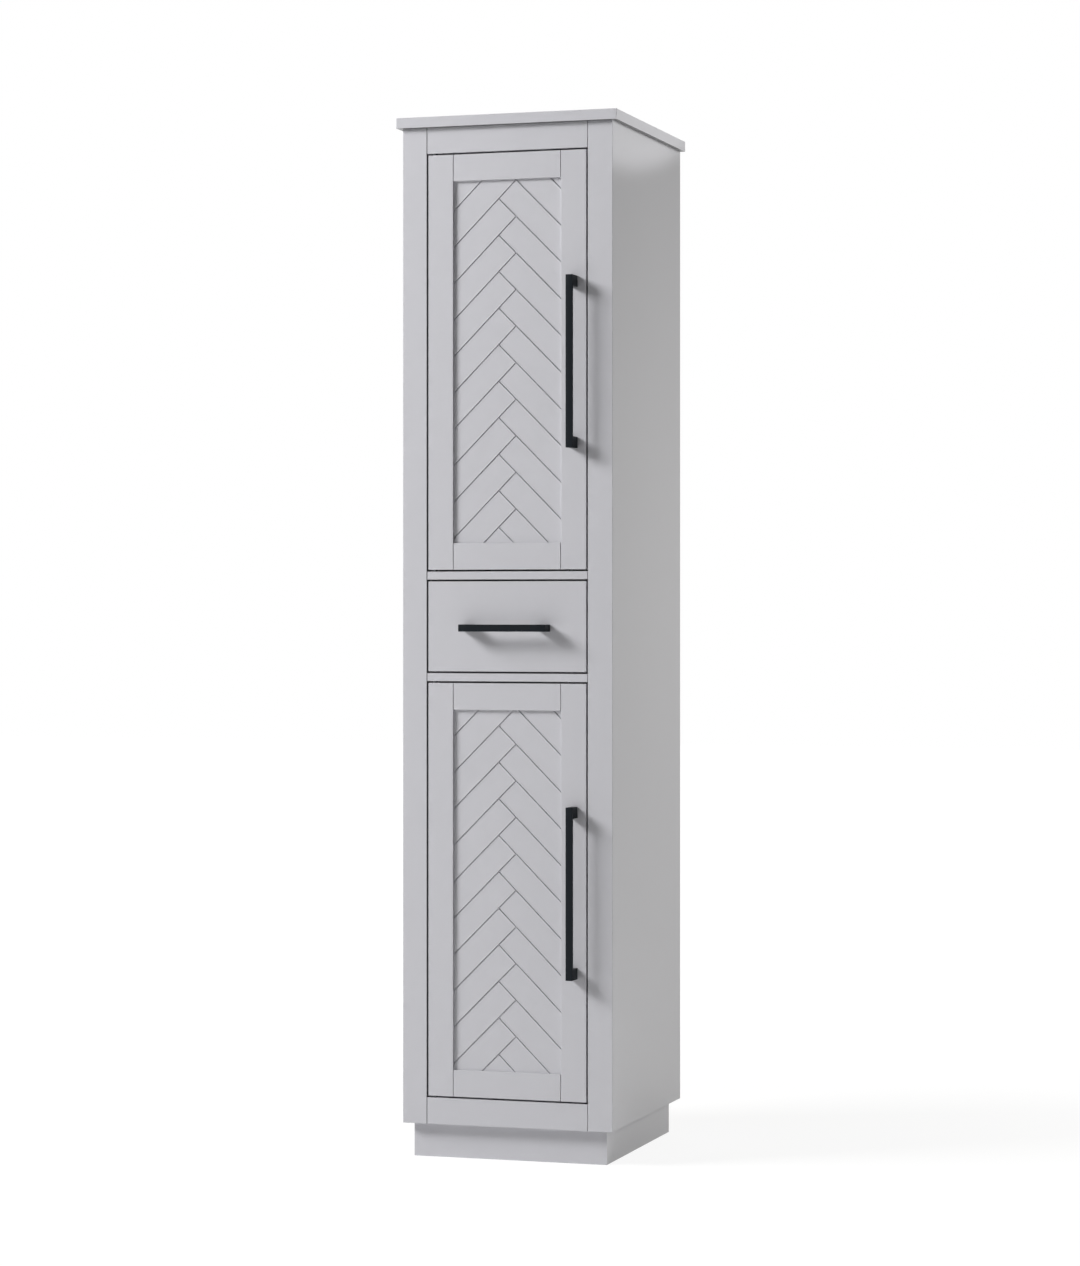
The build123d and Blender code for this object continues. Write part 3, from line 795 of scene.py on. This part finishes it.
def make_runner(name, side):
    """One drawer runner: three channels, the cages and balls between them, and the screws."""
    outer_node = "runner_cabinet_member_" + name
    inner_node = "runner_drawer_member_" + name
    middle_node = "runner_middle_member_" + name
    outer_low, outer_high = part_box(outer_node)
    outer = folded_channel("runner_outer_" + name, outer_low, outer_high, -side)
    complete(outer, ZINC, "cabinet", "steel", outer_node)
    inner = folded_channel("runner_inner_" + name, *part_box(inner_node), side)
    complete(inner, ZINC, "drawer", "steel", inner_node)

    # The node's box takes in the outer balls, which stand above and below the channel.
    low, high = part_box(middle_node)
    step = Vector((0, 0, BALL))
    middle = folded_channel("runner_middle_channel", low + step, high - step, -side)
    centre = (low + high) / 2
    half = (high.z - low.z) / 2 - BALL
    bpy.ops.mesh.primitive_uv_sphere_add(segments=10, ring_count=6, radius=BALL / 2)
    bead = settle("ball")
    strips, beads = [], []
    for a in (half + BALL / 2, -half - BALL / 2, half - SHEET - BALL / 2, -half + SHEET + BALL / 2):
        z = centre.z + a
        strips.append(start_block(
            "cage", (centre.x - CAGE_HALF_WIDTH, low.y, z - CAGE_HALF_HEIGHT),
            (centre.x + CAGE_HALF_WIDTH, high.y, z + CAGE_HALF_HEIGHT)))
        edit()
        bevel_sharp(CAGE_ARRIS, 1)
        leave()
        for index in range(BALL_COUNT):
            y = low.y + FIRST_BALL + BALL_PITCH * index
            beads.append(copy_at(bead, "ball_copy", Matrix.Translation((centre.x, y, z))))
    bpy.data.objects.remove(bead)
    complete(joined("runner_middle_" + name, [middle] + strips), ZINC, "runner_middle_members",
             "steel", middle_node)
    complete(joined("runner_balls_" + name, beads), BRIGHT, "runner_middle_members", "steel",
             middle_node)

    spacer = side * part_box("runner_spacer_" + name)[0 if side > 0 else 1].x
    z_screw = (outer_low.z + outer_high.z) / 2
    seats = [(side * (spacer - SHEET), outer_low.y + a, z_screw) for a in RUNNER_SCREWS]
    set_screws("runner_screws_" + name, FLAT_SCREW, seats, "-X" if side > 0 else "+X", ZINC,
               "cabinet", "steel")


for side_name, side in SIDES.items():
    make_runner(side_name, side)
for master in (HANDLE_SCREW, DRAWER_SCREW, FRONT_SCREW, BACK_SCREW, SMALL_SCREW, FLAT_SCREW):
    bpy.data.objects.remove(master)


# ---------------------------------------------------------------- studio
CAMERA_PLACE = (2.1301, -6.6842, 1.0886)
CAMERA_TURN = 17.707
LENS, SENSOR, CLIP_END = 97.95, 36.0, 60.0
SHIFT_X, SHIFT_Y = -0.00037, -0.01828
FILL = 0.10
FLOOR_GLOW = 0.91  # added to it in reflections
FLOOR_WHITE = 1.045  # what the camera sees
SHADOW_SHARE = 0.15  # and how much of the lit floor it sees through that, near the cabinet
SHADOW_FADE = (0.4, 4.0)  # squares of the distances between which that share fades away
FLOOR_COLOUR = (0.9, 0.9, 0.9)
FLOOR_SIZE = 40
NEUTRAL = (1, 1, 1)
SIDE_TINT = (1.0, 0.99, 0.93)
SPOT_BULB = 0.02
# name, place, target, width and height in metres, power in watts, colour
SOFTBOXES = (
    ("key", (-4.73, -3.03, 4.29), (0, -0.23, 1.0), (2.35, 1.9), 538, NEUTRAL),
    ("side_box", (3.2, 1.0, 1.6), (0.2, 0.1, 1.3), (2.0, 2.2), 13.5, SIDE_TINT),
    ("side_fill", (1.7, 0.5, 1.2), (0.2, 0, 1.2), (0.5, 0.5), 7.0, SIDE_TINT),
    ("back_box", (-1.2, 4.2, 2.6), (0, 0.27, 1.0), (2.4, 2.4), 40, NEUTRAL),
)


def add_camera():
    data = bpy.data.cameras.new("camera")
    data.lens = LENS
    data.sensor_width = SENSOR
    data.shift_x = SHIFT_X
    data.shift_y = SHIFT_Y
    data.clip_end = CLIP_END
    camera = bpy.data.objects.new("camera", data)
    camera.location = CAMERA_PLACE
    camera.rotation_euler = (QUARTER, 0, math.radians(CAMERA_TURN))
    bpy.context.scene.collection.objects.link(camera)
    bpy.context.scene.camera = camera


def aim(lamp, place, target):
    lamp.location = place
    lamp.rotation_euler = (Vector(target) - Vector(place)).to_track_quat("-Z", "Y").to_euler()
    bpy.context.scene.collection.objects.link(lamp)


def add_softbox(name, place, target, size, power, colour):
    data = bpy.data.lights.new(name, "AREA")
    data.shape = "RECTANGLE"
    data.size, data.size_y = size
    data.energy = power
    data.color = colour
    aim(bpy.data.objects.new(name, data), place, target)


def add_spot(name, place, target, spread, blend, power):
    data = bpy.data.lights.new(name, "SPOT")
    data.spot_size = spread
    data.spot_blend = blend
    data.shadow_soft_size = SPOT_BULB
    data.energy = power
    aim(bpy.data.objects.new(name, data), place, target)


def camera_rays(graph):
    return graph.add("LightPath", out="Is Camera Ray")


def open_rays(graph):
    """1 for rays that see the studio: the camera's, and reflections and glass."""
    path = camera_rays(graph)
    glossy = graph.add("LightPath", out="Is Glossy Ray")
    through = graph.add("LightPath", out="Is Transmission Ray")
    return (path + glossy + through) > 0.5


def add_floor():
    """A white seamless floor that keeps a light shadow of the cabinet."""
    deselect()
    bpy.ops.mesh.primitive_plane_add(size=FLOOR_SIZE, location=(0, 0, 0))
    floor = settle("seamless_floor")
    g = Graph("white_floor")
    matt = g.add("BsdfDiffuse", {}, {"Color": tint(FLOOR_COLOUR)})
    glow = g.add("Emission", {}, {"Color": tint(NEUTRAL), "Strength": FLOOR_GLOW})
    both = g.add("AddShader", {}, {0: matt, 1: glow})
    white = g.add("Emission", {}, {"Color": tint(NEUTRAL), "Strength": FLOOR_WHITE})
    place = g.place()
    x, y = g.axis(place, "X"), g.axis(place, "Y")
    away = (x * x + y * y).smooth(*SHADOW_FADE)
    share = SHADOW_SHARE - SHADOW_SHARE * away
    seen = g.add("MixShader", {}, {0: share, 1: white, 2: matt})
    studio = g.add("MixShader", {}, {0: camera_rays(g), 1: both, 2: seen})
    whole = g.add("MixShader", {}, {0: open_rays(g), 1: matt, 2: studio})
    floor.data.materials.append(g.finish(whole))


class WorldGraph(Graph):
    """The world's node tree, built from wires."""

    def __init__(self, world):
        world.use_nodes = True
        self.tree = world.node_tree
        self.tree.nodes.clear()
        self.output = self.tree.nodes.new("ShaderNodeOutputWorld")
        self.material = world


def add_world():
    """A weak even fill that the camera and reflections see as white."""
    world = bpy.data.worlds.new("studio")
    bpy.context.scene.world = world
    g = WorldGraph(world)
    soft = g.add("Background", {}, {"Color": tint(NEUTRAL), "Strength": FILL})
    white = g.add("Background", {}, {"Color": tint(NEUTRAL), "Strength": 1.0})
    g.finish(g.add("MixShader", {}, {0: open_rays(g), 1: soft, 2: white}))


add_camera()
add_world()
add_floor()
for softbox in SOFTBOXES:
    add_softbox(*softbox)
add_spot("top_spot", (4.2, 1.0, 3.1), target=(0.2175, -0.15, 3.46), spread=0.72, blend=0.06,
         power=303)

bpy.context.scene.view_settings.view_transform = "Standard"
